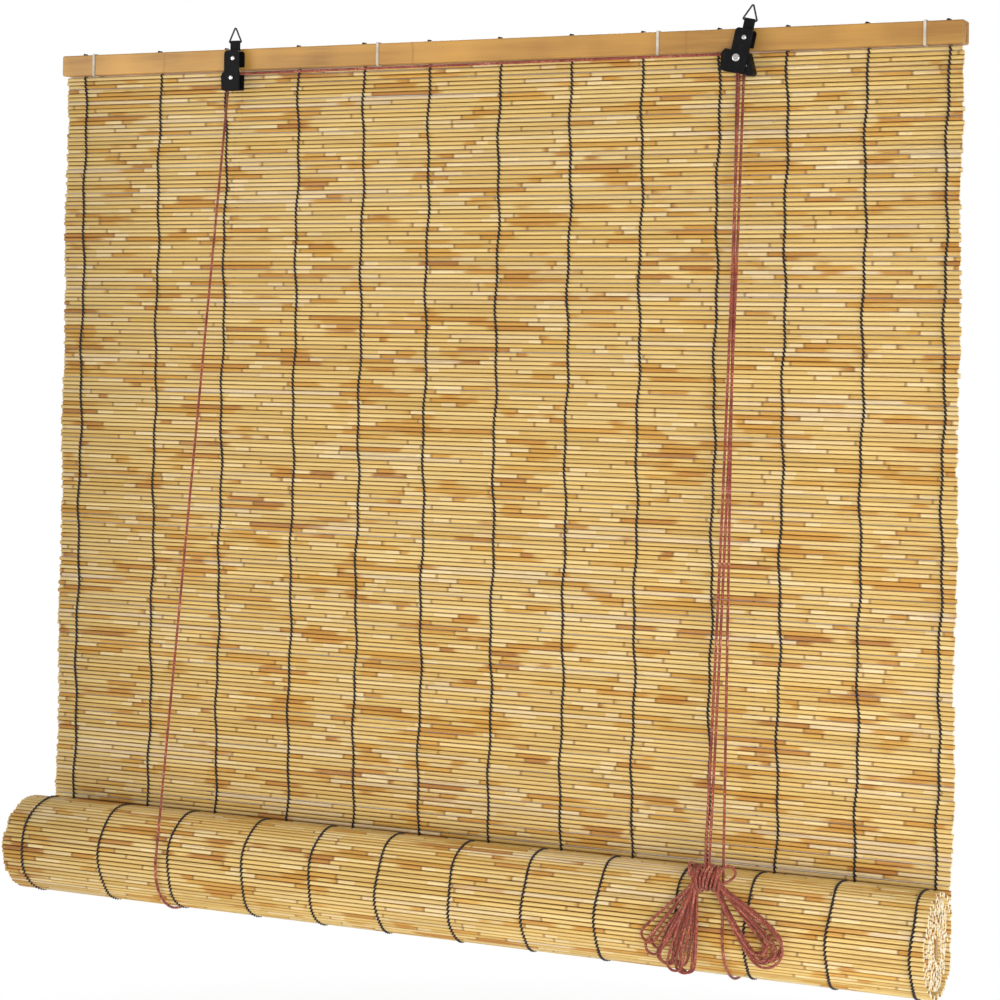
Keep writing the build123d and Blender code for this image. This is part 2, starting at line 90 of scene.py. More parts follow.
def new_material(name, colour, roughness):
    """A material with its shader's plain values set, ready for its nodes."""
    material = bpy.data.materials.new(name)
    material.use_nodes = True
    shader = material.node_tree.nodes["Principled BSDF"]
    shader.inputs["Base Color"].default_value = (*colour, 1)
    shader.inputs["Roughness"].default_value = roughness
    return material, material.node_tree, shader


def add_node(tree, kind, sockets=None, **settings):
    """A shader node with its settings; sockets holds its inputs, as values or as outputs to link."""
    made = tree.nodes.new("ShaderNode" + kind)
    for name, value in settings.items():
        setattr(made, name, value)
    for key, value in (sockets or {}).items():
        if isinstance(value, bpy.types.NodeSocket):
            tree.links.new(value, made.inputs[key])
        else:
            made.inputs[key].default_value = value
    return made


def calc(tree, operation, *values):
    sockets = dict(enumerate(values))
    return add_node(tree, "Math", sockets, operation=operation).outputs[0]


def ramp(tree, value, stops, interpolation="LINEAR"):
    """A run of colours, as (place, colour), that a value from 0 to 1 picks from."""
    made = add_node(tree, "ValToRGB", {0: value})
    band = made.color_ramp
    band.interpolation = interpolation
    while len(band.elements) < len(stops):
        band.elements.new(1.0)
    for element, (place, colour) in zip(band.elements, stops):
        element.position = place
        element.color = (*colour, 1)
    return made.outputs["Color"]


def noise(tree, place, scale, detail):
    sockets = {"Vector": place, "Scale": scale, "Detail": detail}
    return add_node(tree, "TexNoise", sockets).outputs["Fac"]


def grey(level):
    return (level, level, level)


def mix(tree, share, first, second, blend_type="MIX"):
    made = add_node(tree, "Mix", {0: share, 6: first, 7: second}, data_type="RGBA", blend_type=blend_type)
    return made.outputs[2]


def roughen(tree, shader, height, distance, strength=1.0):
    """Raises the surface where height is high, by distance in metres."""
    bump = add_node(tree, "Bump", {"Height": height, "Distance": distance, "Strength": strength})
    tree.links.new(bump.outputs[0], shader.inputs["Normal"])


def braid_material(name, on_map):
    """The braid, drawn on the cord's map or, on a short stretch with no map, in space."""
    material, tree, shader = new_material(name, (0.47, 0.12, 0.075), 0.72)
    shader.inputs["Sheen Weight"].default_value = 0.1
    shader.inputs["Specular IOR Level"].default_value = 0.3
    shader.inputs["Sheen Roughness"].default_value = 0.5
    coordinates = add_node(tree, "TexCoord")
    if on_map:
        place = add_node(tree, "SeparateXYZ", {0: coordinates.outputs["UV"]})
        round_it = calc(tree, "MULTIPLY", place.outputs[0], braid_strands)
        along = calc(tree, "MULTIPLY", place.outputs[1], braid_strands / (pi * cord_diameter))
        right_hand = calc(tree, "ADD", round_it, along)
        left_hand = calc(tree, "SUBTRACT", round_it, along)
        ridges = [calc(tree, "PINGPONG", hand, 0.5) for hand in (right_hand, left_hand)]
        height = calc(tree, "MULTIPLY", calc(tree, "MAXIMUM", *ridges), 2.0)
        cell = add_node(tree, "CombineXYZ", {0: calc(tree, "FLOOR", right_hand),
                                             1: calc(tree, "FLOOR", left_hand)})
        pick = add_node(tree, "TexWhiteNoise", {"Vector": cell.outputs[0]}).outputs["Value"]
        shade_stretch_place = add_node(tree, "CombineXYZ", {0: place.outputs[1]}).outputs[0]
    else:
        cells = add_node(tree, "TexVoronoi", {"Vector": coordinates.outputs["Object"], "Scale": 900.0})
        height = calc(tree, "SUBTRACT", 1.0, cells.outputs["Distance"])
        pick = add_node(tree, "SeparateColor", {0: cells.outputs["Color"]}).outputs[0]
        shade_stretch_place = coordinates.outputs["Object"]
    # the braid's cells differ in tone at random: the darkest cells are painted shade, and the palest few
    # are painted highlights
    cell_tone_shade_and_highlight = ramp(tree, pick, [(0.0, (0.24, 0.038, 0.022)), (0.45, (0.44, 0.09, 0.05)),
                             (0.85, (0.56, 0.15, 0.09)), (0.92, (0.8, 0.4, 0.28))])
    # painted shade: the cord darkens to deep maroon in random stretches along its length
    dirt_and_shade_noise = noise(tree, shade_stretch_place, 35.0, 3.0)
    shade_stretch_share = ramp(tree, dirt_and_shade_noise, [(0.38, grey(0.0)), (0.66, grey(0.9))])
    shaded_yarn = mix(tree, shade_stretch_share, cell_tone_shade_and_highlight, (0.22, 0.032, 0.02, 1))
    # painted shade: darker in the grooves between the braid's strands, following the same height as the
    # bump
    painted_groove_shade = ramp(tree, height, [(0.0, grey(0.2)), (0.6, grey(1.0))])
    tree.links.new(mix(tree, 1.0, shaded_yarn, painted_groove_shade, "MULTIPLY"), shader.inputs["Base Color"])
    roughen(tree, shader, height, 0.0004)
    return material


braid = braid_material("braided_cord", True)
plain_braid = braid_material("braided_cord_short", False)


def route_line(points):
    """The smooth line of a route, read from a spline that has the route's points."""
    data = bpy.data.curves.new("route", "CURVE")
    data.dimensions = "3D"
    data.resolution_u = line_steps
    spline = data.splines.new("NURBS")
    spline.points.add(len(points) - 1)
    for control, place in zip(spline.points, points):
        control.co = (*place, 1)
    spline.order_u = 3
    spline.use_endpoint_u = True
    route = bpy.data.objects.new("route", data)
    bpy.context.scene.collection.objects.link(route)
    line = bpy.data.meshes.new_from_object(route)
    places = [vertex.co.copy() for vertex in line.vertices]
    bpy.data.objects.remove(route)
    bpy.data.curves.remove(data)
    bpy.data.meshes.remove(line)
    return places


def tube_mesh(line, radius, sides):
    """Points, faces and map of a round tube along a line, with closed ends."""
    count = len(line)
    tangents = [(line[min(i + 1, count - 1)] - line[max(i - 1, 0)]).normalized() for i in range(count)]
    side = tangents[0].orthogonal().normalized()
    points = []
    along = [0.0]
    for i, (place, tangent) in enumerate(zip(line, tangents)):
        side = (side - tangent * side.dot(tangent)).normalized()
        other = tangent.cross(side)
        for k in range(sides):
            angle = 2 * pi * k / sides
            points.append(place + radius * (cos(angle) * side + sin(angle) * other))
        if i:
            along.append(along[-1] + (place - line[i - 1]).length)
    faces = []
    uvs = []
    for i in range(count - 1):
        for k in range(sides):
            after = (k + 1) % sides
            faces.append((i * sides + k, i * sides + after, (i + 1) * sides + after, (i + 1) * sides + k))
            uvs += [(k / sides, along[i]), ((k + 1) / sides, along[i]),
                    ((k + 1) / sides, along[i + 1]), (k / sides, along[i + 1])]
    faces.append(tuple(reversed(range(sides))))
    faces.append(tuple(range((count - 1) * sides, count * sides)))
    uvs += [(0.5, along[0])] * sides + [(0.5, along[-1])] * sides
    return points, faces, uvs


def make_tubes(name, lines, radius, sides, material):
    """One piece of one or more tubes, smooth along their sides."""
    points, faces, uvs = [], [], []
    for line in lines:
        more_points, more_faces, more_uvs = tube_mesh(line, radius, sides)
        start = len(points)
        points += more_points
        faces += [tuple(start + corner for corner in face) for face in more_faces]
        uvs += more_uvs
    mesh = bpy.data.meshes.new(name)
    mesh.from_pydata(points, [], faces)
    layer = mesh.uv_layers.new(name="along")
    layer.data.foreach_set("uv", np.array(uvs, np.float32).ravel())
    mesh.polygons.foreach_set("use_smooth", [len(face) == 4 for face in faces])
    mesh.materials.append(material)
    piece = bpy.data.objects.new(name, mesh)
    bpy.context.scene.collection.objects.link(piece)
    return piece


def millimetres(*points):
    return [Vector(point) / 1000 for point in points]


def finish_cad(material, *names):
    """Gives CAD nodes their material."""
    for name in names:
        data = nodes[name].data
        data.materials.clear()
        data.materials.append(material)


# ================================================================ pull cords
# Both lift cords come out of the lock side by side and hang almost straight, drawn down by the
# bow they are tied up in. They shorten with the lift, so that the bow keeps its place on the roll.
roll_z = -0.879
pull_routes = {
    "pull_cord_a": millimetres((286.0, -2.1, -66.2), (294.0, -48.0, -440.0), (294.4, -91.2, -812.2)),
    "pull_cord_b": millimetres((289.4, 1.7, -66.2), (297.6, -46.4, -440.0), (298.4, -91.2, -812.2)),
}


for name, route in pull_routes.items():
    line = route_line(route)
    pull = make_tubes(f"{name}_run", [line], cord_diameter / 2, 10, braid)
    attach(pull, "rail")
    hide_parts(name)
    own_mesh(pull)

# ================================================================ bow
# What is left of the pull cords is gathered in a bow: long loops to the left and the right, and
# the last turns of the cord wound round their middle as the knot.
bow_y = -0.0912
left_waist = Vector((0.2845, 0, -0.836))
right_waist = Vector((0.3045, 0, -0.834))
waist_half = 0.0024
knot_middle = Vector((0.2955, bow_y, -0.828))
knot_half_height = 0.0112
knot_half_depth = 0.0075
knot_turns = 9
knot_turn_gap = 0.0029
knot_turn_points = 12
loop_neck = 0.006      # how far from the waist a loop's two sides start to open


def loop_points(waist, tip_x, tip_z, half_width, depth):
    """Control points of one loop, out from the waist, round its tip and back."""
    tip = Vector((tip_x, 0, tip_z)) / 1000
    out = (tip - waist).normalized()
    beside = Vector((out.z, 0, -out.x))
    half = half_width / 1000
    middle = (waist + tip) / 2
    spread = 0.55 * half + 0.45 * waist_half
    sketch = [
        waist + waist_half * beside + loop_neck * out,
        middle + spread * beside,
        tip + half * beside,
        tip + 0.85 * half * beside + 0.95 * half * out,
        tip + 1.35 * half * out,
        tip - 0.85 * half * beside + 0.95 * half * out,
        tip - half * beside,
        middle - spread * beside,
        waist - waist_half * beside + loop_neck * out,
    ]
    return [Vector((place.x, bow_y + depth / 1000, place.z)) for place in sketch]


# each loop: side, tip (x, z), half width at the tip and depth behind the bow's middle, in mm
bow_loops = {
    "a": [("right", 351, -884, 17.5, -2.6), ("left", 241, -885, 8.0, 0.4),
          ("right", 349, -886, 13.0, 1.0), ("left", 267, -908, 7.8, -2.6),
          ("right", 346, -889, 9.0, -0.6), ("left", 274, -910, 8.2, 2.4),
          ("right", 342, -884, 8.2, 3.2), ("left", 260, -902, 8.6, -0.8),
          ("right", 350, -880, 15.8, 3.6)],
    "b": [("left", 250, -890, 7.8, 2.2), ("right", 352, -882, 15.0, 1.6),
          ("left", 278, -909, 7.8, 0.6), ("right", 345, -881, 10.5, -3.2),
          ("left", 256, -902, 8.4, 3.4), ("right", 317, -822, 6.5, -2.0),
          ("left", 270, -904, 7.8, 3.6), ("right", 347, -888, 11.5, 2.4),
          ("left", 246, -895, 8.0, -2.0)],
}
for name, loops in bow_loops.items():
    start = pull_routes[f"pull_cord_{name}"][-1]
    route = [start, start + Vector((0, 0, -0.008))]
    for number, (side, tip_x, tip_z, half_width, depth) in enumerate(loops):
        waist = left_waist if side == "left" else right_waist
        inward = 1 if side == "left" else -1
        top = Vector((waist.x, bow_y + depth / 1000, waist.z))
        route.append(top + Vector((inward * 0.004, 0, 0.012)))
        route += loop_points(waist, tip_x, tip_z, half_width, depth)
        route.append(top + Vector((inward * 0.001, 0, 0.01)))
    if name == "a":
        for step in range(knot_turns * knot_turn_points + 1):
            turn = step / knot_turn_points
            angle = 2 * pi * step / knot_turn_points
            slack = 1 + 0.13 * sin(2.3 * turn + 1.0) + 0.07 * sin(5.1 * turn)
            shift = (turn - knot_turns / 2) * knot_turn_gap - 0.0026 * slack * sin(angle + 0.5 * turn)
            route.append(knot_middle + Vector((shift, -knot_half_depth * slack * cos(angle),
                                               knot_half_height * slack * sin(angle))))
    line = route_line(route)
    bow = make_tubes(f"bow_of_cord_{name}", [line], cord_diameter / 2, 8, braid)
    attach(bow, "roll")
    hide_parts("cord_hank")

# ================================================================ lift cords
# One cord on each side comes down the front of the mat, passes under the roll and goes up the
# back to a knot and a staple on the back slat. Both are pulled tight by the roll's weight.
front_cord_tops = {
    "left_front_cord": (-0.2875, -0.0021, -0.0662),
    "right_front_cord": (0.2825, 0.0017, -0.0662),
}
run_steps = 8
for name, top in front_cord_tops.items():
    low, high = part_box(name)
    side = -1 if name.startswith("left") else 1
    foot_x = high.x if side > 0 else low.x
    foot = Vector((foot_x - side * cord_diameter / 2, low.y + cord_diameter / 2, low.z))
    line = [Vector(top).lerp(foot, step / run_steps) for step in range(run_steps + 1)]
    front = make_tubes(f"{name}_run", [line], cord_diameter / 2, 10, braid)
    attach(front, "rail")
    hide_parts(name)
    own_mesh(front)

for name in ("left_back_cord", "right_back_cord"):
    low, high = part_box(name)
    side = -1 if name.startswith("left") else 1
    outer_x = (high.x if side > 0 else -low.x) - cord_diameter / 2
    inner_x = (low.x if side > 0 else -high.x) + cord_diameter / 2
    top = Vector((side * inner_x, high.y - cord_diameter / 2, high.z))
    foot = Vector((side * outer_x, low.y + cord_diameter / 2, low.z))
    line = [top.lerp(foot, step / run_steps) for step in range(run_steps + 1)]
    back = make_tubes(f"{name}_run", [line], cord_diameter / 2, 10, braid)
    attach(back, "rail")
    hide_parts(name)
    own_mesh(back)

finish_cad(plain_braid, "left_cord_over_wheels", "right_cord_over_wheel", "left_cord_under_roll",
           "right_cord_under_roll", "left_cord_knot", "right_cord_knot")

# ================================================================ reeds
# Whole river reeds, dried and cut to one length, a little thicker and thinner and never quite
# straight. Each has a node every hand's breadth or two: a dark ring with a pale collar on one
# side, and golden sheath colour that starts sharply at the ring and fades out on the other.
reed_radius = 0.0021
reed_pitch = 0.00442
reed_bands = 5
reed_sides = 8
map_share = 0.7      # how much of one step of the map's second number goes round a reed
mat_low, mat_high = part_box("reed_sheet")
hanging_reeds = round((mat_high.z - mat_low.z - 2 * reed_radius) / reed_pitch) + 1
# the cord on the back of the mat spreads outwards on its way down, from this x to this one
back_cord_at_rail = 0.2855
back_cord_at_roll = 0.31


def reed_material():
    material, tree, shader = new_material("reed", (0.72, 0.52, 0.2), 0.5)
    shader.inputs["Specular IOR Level"].default_value = 0.25
    place = add_node(tree, "SeparateXYZ", {0: add_node(tree, "TexCoord").outputs["UV"]})
    number = calc(tree, "FLOOR", place.outputs[1])
    chance = add_node(tree, "TexWhiteNoise", {"W": number}, noise_dimensions="1D").outputs["Color"]
    own = add_node(tree, "SeparateColor", {0: chance})
    # distance from node to node differs from reed to reed
    spacing = calc(tree, "MULTIPLY_ADD", own.outputs[0], 0.15, 0.085)
    stretch = calc(tree, "ADD", calc(tree, "DIVIDE", place.outputs[0], spacing),
                   calc(tree, "MULTIPLY_ADD", own.outputs[1], 7.0, 20.0))
    joint = calc(tree, "FLOOR", stretch)
    share = calc(tree, "FRACT", stretch)
    key = add_node(tree, "CombineXYZ", {0: number, 1: joint}).outputs[0]
    draws = add_node(tree, "TexWhiteNoise", {"Vector": key}).outputs["Color"]
    pick = add_node(tree, "SeparateColor", {0: draws})
    # reeds grow either way up in the mat
    turned = calc(tree, "GREATER_THAN", own.outputs[2], 0.5)
    flipped = calc(tree, "SUBTRACT", 1.0, share)
    run = add_node(tree, "Mix", {0: turned, 2: share, 3: flipped}).outputs[0]

    # streaks along the reed, and a little mottling
    angle = calc(tree, "FRACT", place.outputs[1])
    angle_round = calc(tree, "DIVIDE", calc(tree, "SUBTRACT", angle, 0.5), map_share)
    streak_key = add_node(tree, "CombineXYZ", {
        0: calc(tree, "MULTIPLY", place.outputs[0], 5.0),
        1: calc(tree, "MULTIPLY", angle, 9.0),
        2: calc(tree, "MULTIPLY", number, 3.7),
    }).outputs[0]
    streak = noise(tree, streak_key, 1.6, 5.0)
    fibre_key = add_node(tree, "CombineXYZ", {
        0: calc(tree, "MULTIPLY", place.outputs[0], 40.0),
        1: calc(tree, "MULTIPLY", angle, 60.0),
        2: number,
    }).outputs[0]
    fibre = noise(tree, fibre_key, 1.0, 2.0)

    straw = ramp(tree, pick.outputs[0], [
        (0.0, (0.75, 0.54, 0.2)), (0.3, (0.68, 0.46, 0.15)), (0.55, (0.79, 0.6, 0.26)),
        (0.8, (0.64, 0.42, 0.12)), (0.93, (0.76, 0.59, 0.3)), (1.0, (0.72, 0.56, 0.34))])
    sheath = ramp(tree, pick.outputs[1], [
        (0.0, (0.63, 0.36, 0.075)), (0.5, (0.58, 0.3, 0.055)), (0.85, (0.52, 0.24, 0.045)),
        (1.0, (0.4, 0.16, 0.04))])
    # golden from the ring on, over a length that differs. Reeds of one bundle lie together in
    # the mat, so there is much of it in some patches and little in others
    patch_key = add_node(tree, "CombineXYZ", {
        0: calc(tree, "MULTIPLY", place.outputs[0], 11.0),
        1: calc(tree, "MULTIPLY", number, 0.16),
    }).outputs[0]
    patch = noise(tree, patch_key, 1.0, 2.0)
    reach = calc(tree, "MULTIPLY_ADD", pick.outputs[2], 0.8,
                 calc(tree, "MULTIPLY_ADD", patch, 3.2, -1.85))
    ragged = calc(tree, "MULTIPLY_ADD", streak, 0.5, calc(tree, "SUBTRACT", reach, 0.25))
    golden = calc(tree, "MULTIPLY", calc(tree, "SUBTRACT", ragged, run), 7.0)
    golden = add_node(tree, "Clamp", {0: golden}).outputs[0]
    colour = mix(tree, calc(tree, "MULTIPLY", golden, 0.9), straw, sheath)
    # the pale collar at the far end of some stretches
    collar = calc(tree, "MULTIPLY", calc(tree, "GREATER_THAN", run, 0.84),
                  calc(tree, "GREATER_THAN", pick.outputs[1], 0.45))
    colour = mix(tree, calc(tree, "MULTIPLY", collar, 0.5), colour, (0.86, 0.71, 0.42, 1))
    # the dark ring itself
    from_ring = calc(tree, "MULTIPLY", calc(tree, "MINIMUM", share, flipped), spacing)
    ring = calc(tree, "LESS_THAN", from_ring, calc(tree, "MULTIPLY", streak, 0.0026))
    colour = mix(tree, calc(tree, "MULTIPLY", ring, 0.62), colour, (0.26, 0.12, 0.04, 1))
    tone = ramp(tree, streak, [(0.25, (0.68, 0.58, 0.5)), (0.45, grey(0.95)), (0.7, (1.1, 1.08, 1.04))])
    colour = mix(tree, 1.0, colour, tone, "MULTIPLY")
    colour = mix(tree, 0.35, colour, ramp(tree, fibre, [(0.3, grey(0.7)), (0.6, grey(1.05))]), "MULTIPLY")
    # painted shade: darker where a reed lies against its neighbours, on the sides that face them
    lean = calc(tree, "ABSOLUTE", calc(tree, "SINE", calc(tree, "MULTIPLY", angle_round, 2 * pi)))
    painted_crease_shade = ramp(tree, lean, [(0.62, grey(1.0)), (0.9, (0.62, 0.48, 0.34)), (1.0, (0.3, 0.19, 0.1))])
    colour = mix(tree, 1.0, colour, painted_crease_shade, "MULTIPLY")
    # painted shade: a dark tick between some of the reeds, over the cord on the back of the mat, stands
    # for that cord seen in shade through the gap
    spread = (back_cord_at_roll - back_cord_at_rail) / hanging_reeds
    cord_x = calc(tree, "ADD", back_cord_at_rail, calc(tree, "MULTIPLY", number, spread))
    from_middle = calc(tree, "ABSOLUTE", place.outputs[0])
    from_cord = calc(tree, "ABSOLUTE", calc(tree, "SUBTRACT", from_middle, cord_x))
    behind = calc(tree, "MULTIPLY", calc(tree, "LESS_THAN", from_cord, 0.0019),
                  calc(tree, "LESS_THAN", number, hanging_reeds - 0.5))
    gap = calc(tree, "MULTIPLY", calc(tree, "GREATER_THAN", lean, 0.86),
               calc(tree, "GREATER_THAN", own.outputs[2], 0.3))
    painted_gap_shade = calc(tree, "MULTIPLY", calc(tree, "MULTIPLY", behind, gap), 0.85)
    colour = mix(tree, painted_gap_shade, colour, (0.05, 0.018, 0.008, 1))
    tree.links.new(colour, shader.inputs["Base Color"])
    gloss = ramp(tree, fibre, [(0.3, grey(0.62)), (0.7, grey(0.44))])
    tree.links.new(gloss, shader.inputs["Roughness"])
    swelling = calc(tree, "LESS_THAN", from_ring, 0.0022)
    roughen(tree, shader, calc(tree, "ADD", calc(tree, "MULTIPLY", swelling, 0.8), fibre), 0.00022)
    return material


def cut_end_material():
    """The cut end of a reed: a pale woody wall round a darker pith."""
    material, tree, shader = new_material("reed_cut_end", (0.86, 0.73, 0.48), 0.8)
    place = add_node(tree, "SeparateXYZ", {0: add_node(tree, "TexCoord").outputs["UV"]})
    grain_key = add_node(tree, "TexCoord").outputs["Object"]
    grain = noise(tree, grain_key, 900.0, 3.0)
    wood = ramp(tree, grain, [(0.3, (0.82, 0.7, 0.48)), (0.6, (0.95, 0.88, 0.7))])
    age = add_node(tree, "TexWhiteNoise", {"W": calc(tree, "FLOOR", place.outputs[1])},
                   noise_dimensions="1D").outputs["Value"]
    aged = mix(tree, calc(tree, "MULTIPLY", age, 0.22), wood, (0.7, 0.52, 0.26, 1))
    tree.links.new(aged, shader.inputs["Base Color"])
    roughen(tree, shader, grain, 0.0002)
    return material


def reed_pattern(radius, bands):
    """One reed along X, a metre long: a cylinder cut into bands."""
    bpy.ops.object.select_all(action="DESELECT")
    bpy.ops.mesh.primitive_cylinder_add(vertices=reed_sides, radius=radius, depth=1.0,
                                        rotation=(0, pi / 2, 0))
    pattern = bpy.context.object
    bpy.ops.object.transform_apply(rotation=True)
    bpy.ops.object.mode_set(mode="EDIT")
    for band in range(1, bands):
        bpy.ops.mesh.select_all(action="SELECT")
        bpy.ops.mesh.bisect(plane_co=(band / bands - 0.5, 0, 0), plane_no=(1, 0, 0))
    bpy.ops.object.mode_set(mode="OBJECT")
    data = pattern.data
    data.materials.append(reed_surface)
    data.materials.append(reed_end)
    for face in data.polygons:
        is_end = abs(face.normal.x) > 0.9
        face.material_index = 1 if is_end else 0
        face.use_smooth = not is_end
    layer = data.uv_layers.active.data
    for face in data.polygons:
        middle = atan2(face.center.z, face.center.y) / (2 * pi)
        for loop in face.loop_indices:
            place = data.vertices[data.loops[loop].vertex_index].co
            angle = atan2(place.z, place.y) / (2 * pi)
            angle += round(middle - angle)
            layer[loop].uv = (place.x, 0.5 + map_share * angle)
    return pattern


reed_surface = reed_material()
reed_end = cut_end_material()
reed = reed_pattern(reed_radius, reed_bands)
straight_reed = reed_pattern(reed_radius, 1)


def lay_reeds(name, pattern, places, length, wander, end_wander, first_number):
    """One piece of reeds, each a copy of the pattern with its own shape, at its place (y, z, turn).

    turn is the direction, as an angle from +Y, that the reed's first side faces. The reeds are
    numbered on their maps from first_number on.
    """
    data = pattern.data
    shape = np.empty(len(data.vertices) * 3, np.float32)
    data.vertices.foreach_get("co", shape)
    shape = shape.reshape(-1, 3)
    uv = np.empty(len(data.loops) * 2, np.float32)
    data.uv_layers.active.data.foreach_get("uv", uv)
    uv = uv.reshape(-1, 2)
    bands = np.round((shape[:, 0] + 0.5) * reed_bands).astype(int)
    copies = []
    for number, (y, z, turn) in enumerate(places, first_number):
        own = pattern.copy()
        own.data = data.copy()
        drift = 0.8 * end_wander * sin(0.13 * number)
        left = -length / 2 + drift + random.uniform(-1, 1) * end_wander
        right = length / 2 + drift + random.uniform(-1, 1) * end_wander
        thick = random.uniform(1.045, 1.105)
        girth = np.array([thick * random.uniform(0.975, 1.0) for _ in range(reed_bands + 1)])
        lean_y = np.array([random.uniform(-1, 1) * wander for _ in range(reed_bands + 1)])
        lean_z = np.array([random.uniform(-1, 1) * wander * 0.6 for _ in range(reed_bands + 1)])
        moved = np.empty_like(shape)
        moved[:, 0] = left + (shape[:, 0] + 0.5) * (right - left)
        turned_y = shape[:, 1] * cos(turn) - shape[:, 2] * sin(turn)
        turned_z = shape[:, 1] * sin(turn) + shape[:, 2] * cos(turn)
        moved[:, 1] = y + turned_y * girth[bands] + lean_y[bands]
        moved[:, 2] = z + turned_z * girth[bands] + lean_z[bands]
        own.data.vertices.foreach_set("co", moved.ravel())
        map_x = left + (uv[:, 0] + 0.5) * (right - left)
        map_y = uv[:, 1] + number
        own.data.uv_layers.active.data.foreach_set("uv", np.stack([map_x, map_y], 1).ravel())
        bpy.context.scene.collection.objects.link(own)
        copies.append(own)
    bpy.ops.object.select_all(action="DESELECT")
    for own in copies:
        own.select_set(True)
    bpy.context.view_layer.objects.active = copies[0]
    bpy.ops.object.join()
    piece = bpy.context.object
    piece.name = name
    piece.data.name = name
    return piece


# ================================================================ hanging mat
# The mat hangs from the rail in one flat sheet of reeds, edge to edge, down to the roll. When
# the blind is raised the hanging part shortens towards the rail.
mat_y = (mat_low.y + mat_high.y) / 2
mat_length = mat_high.x - mat_low.x
first_reed_z = mat_high.z - reed_radius
places = [(mat_y, first_reed_z - i * reed_pitch, 0.0) for i in range(hanging_reeds)]
mat = lay_reeds("hanging_reeds", reed, places, mat_length, 0.00022, 0.0013, 0)
laid = hanging_reeds
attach(mat, "rail")
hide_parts("reed_sheet")
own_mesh(mat)

# the first reeds of the mat, held between the two slats
rail_low, rail_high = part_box("rail_top_reeds")
rail_reeds = round((rail_high.z - rail_low.z - 2 * reed_radius) / reed_pitch) + 1
places = [(mat_y, rail_high.z - reed_radius - i * reed_pitch, 0.0) for i in range(rail_reeds)]
top_reeds = lay_reeds("reeds_in_rail", reed, places, mat_length, 0.0001, 0.0012, laid)
laid += rail_reeds
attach(top_reeds, "rail")
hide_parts("rail_top_reeds")

# ================================================================ roll
# The mat goes down behind the roll, under it and up its front. The outermost turn is the stretch
# that is just being wound on, so it rides up without turning; the turns inside it do turn.
turn_pitch = 0.0044
first_turn_radius = 0.0488
turn_step = turn_pitch / 4
turn_y = mat_y - first_turn_radius
turn_arcs = [      # centre y, centre z, radius of each quarter: down the back, front, top, back
    (turn_y, roll_z, first_turn_radius),
    (turn_y, roll_z - turn_step, first_turn_radius - turn_step),
    (turn_y - turn_step, roll_z - turn_step, first_turn_radius - 2 * turn_step),
    (turn_y - turn_step, roll_z, first_turn_radius - 3 * turn_step),
]
first_on_roll = 0.0026
outer_reeds = 67


def on_roll(distance):
    """Place (y, z) on the outer turn at a distance along it, and the way out from its middle."""
    for quarter, (centre_y, centre_z, radius) in enumerate(turn_arcs):
        arc = radius * pi / 2
        if distance <= arc or quarter == 3:
            angle = -(quarter * pi / 2) - distance / radius
            return (centre_y + radius * cos(angle), centre_z + radius * sin(angle),
                    cos(angle), sin(angle))
        distance -= arc


places = []
for i in range(outer_reeds):
    y, z, out_y, out_z = on_roll(first_on_roll + i * reed_pitch)
    places.append((y, z, atan2(out_z, out_y)))
outer_turn = lay_reeds("roll_outer_reeds", reed, places, mat_length, 0.00012, 0.0014, laid)
laid += outer_reeds
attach(outer_turn, "roll")
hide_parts("roll_outer_turn")

core_low, core_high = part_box("roll_inner_turns")
core_y = (core_low.y + core_high.y) / 2
core_z = (core_low.z + core_high.z) / 2
core_radius = (core_high.y - core_low.y) / 2
innermost = 0.0135      # the batten's slot is inside this radius
places = []
radius = core_radius - reed_radius - 0.0002
angle = pi / 2
while radius > innermost:
    places.append((core_y + radius * cos(angle), core_z + radius * sin(angle), angle))
    turn = reed_pitch / radius
    angle -= turn
    radius -= turn_pitch * turn / (2 * pi)
core_length = core_high.x - core_low.x
inner_turns = lay_reeds("roll_inner_reeds", straight_reed, places, core_length, 0.0, 0.0014, laid)
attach(inner_turns, "inner_roll")
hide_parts("roll_inner_turns")
bpy.data.objects.remove(reed)
bpy.data.objects.remove(straight_reed)

# ================================================================ binding threads
# Each column is a pair of waxed black-brown threads that swap sides between one reed and the
# next, so that every reed is gripped by a slanting stitch in front and another behind.
thread_radius = 0.00115
stitch_reach = reed_radius + 0.0006
stitch_slant = 0.0009
stitch_samples = 4
thread_sides = 5


def thread_material():
    material, tree, shader = new_material("black_thread", (0.01, 0.005, 0.005), 0.8)
    shader.inputs["Sheen Weight"].default_value = 0.1
    place = add_node(tree, "SeparateXYZ", {0: add_node(tree, "TexCoord").outputs["UV"]})
    twist = calc(tree, "ADD", calc(tree, "MULTIPLY", place.outputs[0], 3.0),
                 calc(tree, "MULTIPLY", place.outputs[1], 900.0))
    # painted shade: the thread is darker in the grooves between its plies, following the same height as
    # the bump
    ply = calc(tree, "PINGPONG", twist, 0.5)
    shade = ramp(tree, ply, [(0.0, (0.003, 0.0015, 0.0015)), (0.5, (0.016, 0.007, 0.007))])
    worn = noise(tree, add_node(tree, "TexCoord").outputs["Object"], 60.0, 4.0)
    shade = mix(tree, ramp(tree, worn, [(0.5, grey(0.0)), (0.75, grey(0.7))]), shade,
                (0.035, 0.012, 0.012, 1))
    tree.links.new(shade, shader.inputs["Base Color"])
    roughen(tree, shader, ply, 0.0002)
    return material


thread = thread_material()


